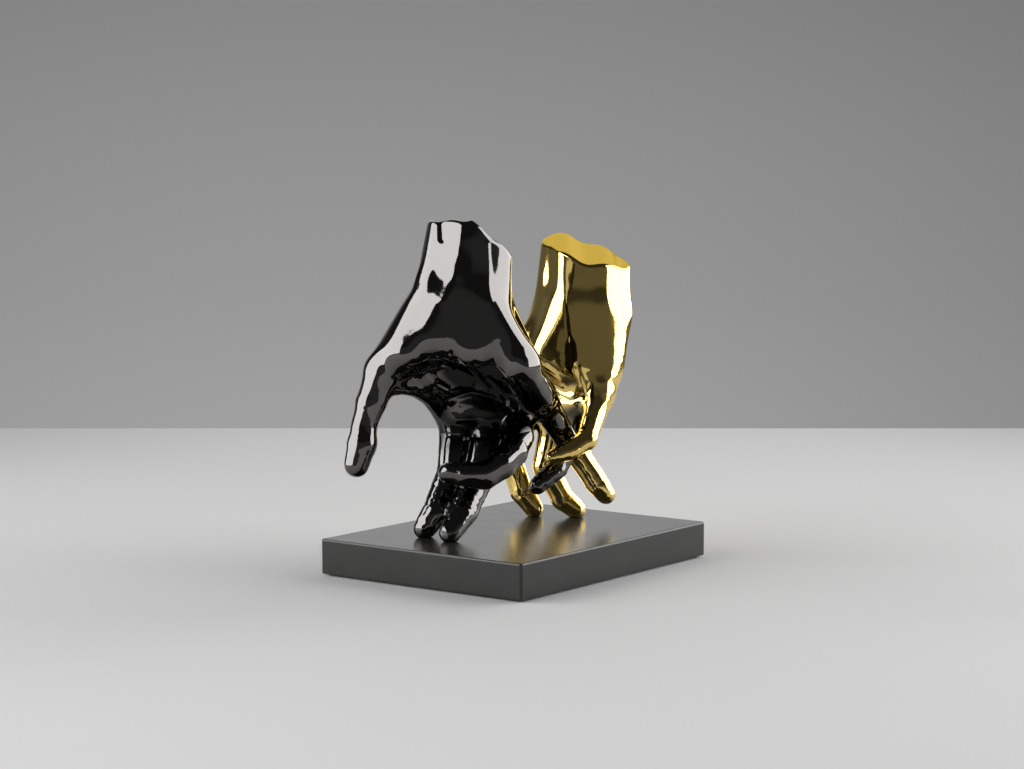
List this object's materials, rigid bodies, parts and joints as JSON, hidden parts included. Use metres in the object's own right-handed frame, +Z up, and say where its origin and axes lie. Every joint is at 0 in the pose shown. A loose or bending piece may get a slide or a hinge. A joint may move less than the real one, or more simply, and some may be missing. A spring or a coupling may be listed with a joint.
{
  "type": "hands figurine",
  "caption": "Sculpture of a dark mirror hand and a gold hand walking on their fingertips with little fingers hooked, fixed on a flat black plinth; a free-standing desk ornament.",
  "frame": {"origin": "centre of the felt's underside, the face that the figurine rests on", "axes": "+Z up; X along the plinth's short edge and Y along its long edge; the corner between the +X and -Y sides points to the front"},
  "size_m": [0.2, 0.26, 0.2857],
  "materials": {
    "dark_mirror": "black chrome mirror plating",
    "gold_mirror": "gold mirror plating",
    "black_lacquer": "satin black lacquer",
    "felt": "matt black felt",
    "zinc_steel": "zinc plated"
  },
  "bodies": {
    "root": {"dark_hand": "dark_mirror", "gold_hand": "gold_mirror", "plinth": "black_lacquer", "felt": "felt", "stud_dark_index": "zinc_steel", "stud_dark_middle": "zinc_steel", "stud_gold_index": "zinc_steel", "stud_gold_middle": "zinc_steel", "washer_dark_index": "zinc_steel", "washer_dark_middle": "zinc_steel", "washer_gold_index": "zinc_steel", "washer_gold_middle": "zinc_steel", "nut_dark_index": "zinc_steel", "nut_dark_middle": "zinc_steel", "nut_gold_index": "zinc_steel", "nut_gold_middle": "zinc_steel"}
  },
  "joints": []
}
